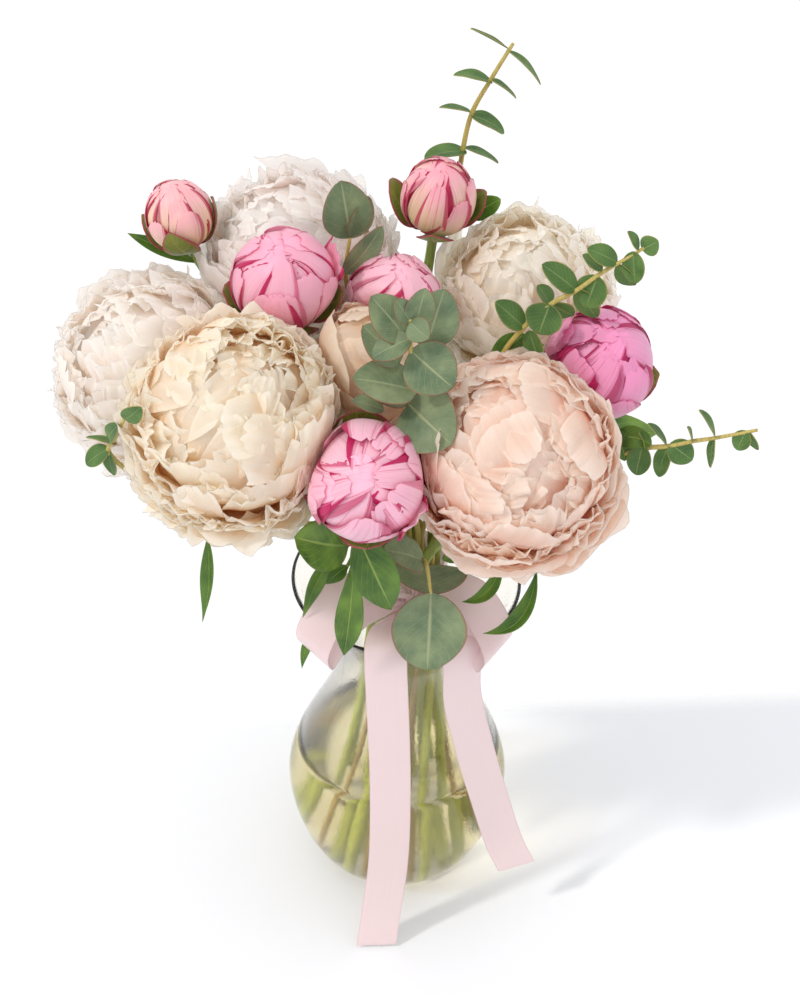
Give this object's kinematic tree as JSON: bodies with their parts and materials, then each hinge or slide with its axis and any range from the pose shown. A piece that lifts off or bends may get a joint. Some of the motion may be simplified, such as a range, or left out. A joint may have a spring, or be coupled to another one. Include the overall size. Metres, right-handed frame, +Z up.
{
  "type": "peonies in a vase",
  "caption": "Open peonies, peony buds and eucalyptus sprigs in a pear-shaped clear glass vase of water, their stems tied with a satin ribbon.",
  "frame": {"origin": "centre of the vase's flat base, on the surface it stands on", "axes": "+Z up, -Y the front that the picture shows, +X to the right seen from the front"},
  "size_m": [0.4074, 0.28, 0.5411],
  "materials": {
    "glass": "clear blown glass, polished, faintly grey at the rim",
    "water": "clear water, slightly yellow-green from the stems",
    "satin_ribbon": "pale pink satin with soft bright folds",
    "blush_petals": "thin matte petals, blush white",
    "cream_petals": "thin matte petals, cream with ochre depths",
    "ivory_petals": "thin matte petals, ivory",
    "peach_petals": "thin matte petals, blush peach",
    "pink_bud": "smooth petals with a soft sheen, pink",
    "pale_pink_bud": "smooth petals, pale pink with crimson creases",
    "coral_bud": "smooth petals, coral",
    "peach_bud": "smooth petals, cream and peach with crimson flames",
    "vivid_pink_bud": "smooth petals, vivid pink",
    "peony_stem": "green stems and leaves with a dull wax",
    "eucalyptus": "green waxy leaves",
    "grey_eucalyptus": "grey-green waxy leaves with a bloom"
  },
  "bodies": {
    "root": {"vase_glass": "glass", "water": "water", "ribbon_band": "satin_ribbon", "ribbon_knot": "satin_ribbon", "ribbon_loop_left": "satin_ribbon", "ribbon_loop_right": "satin_ribbon", "ribbon_tail_middle": "satin_ribbon", "ribbon_tail_right": "satin_ribbon", "left_blush_petals": "blush_petals", "front_cream_petals": "cream_petals", "back_blush_petals": "blush_petals", "right_white_petals": "ivory_petals", "front_peach_petals": "peach_petals", "middle_cream_petals": "cream_petals", "left_petals": "coral_bud", "large_pink_petals": "pink_bud", "pale_petals": "pale_pink_bud", "tulip_petals": "peach_bud", "vivid_right_petals": "vivid_pink_bud", "striped_front_petals": "pink_bud", "left_blush_stem": "peony_stem", "front_cream_stem": "peony_stem", "back_blush_stem": "peony_stem", "right_white_stem": "peony_stem", "front_peach_stem": "peony_stem", "middle_cream_stem": "peony_stem", "left_stem": "peony_stem", "large_pink_stem": "peony_stem", "pale_stem": "peony_stem", "tulip_stem": "peony_stem", "vivid_right_stem": "peony_stem", "striped_front_stem": "peony_stem", "sprig_tall_back": "eucalyptus", "sprig_right_diagonal": "eucalyptus", "sprig_right_low": "eucalyptus", "sprig_middle_round": "grey_eucalyptus", "sprig_front_hanging": "grey_eucalyptus", "sprig_behind_large_bud": "grey_eucalyptus", "sprig_left_small": "eucalyptus"}
  },
  "joints": []
}
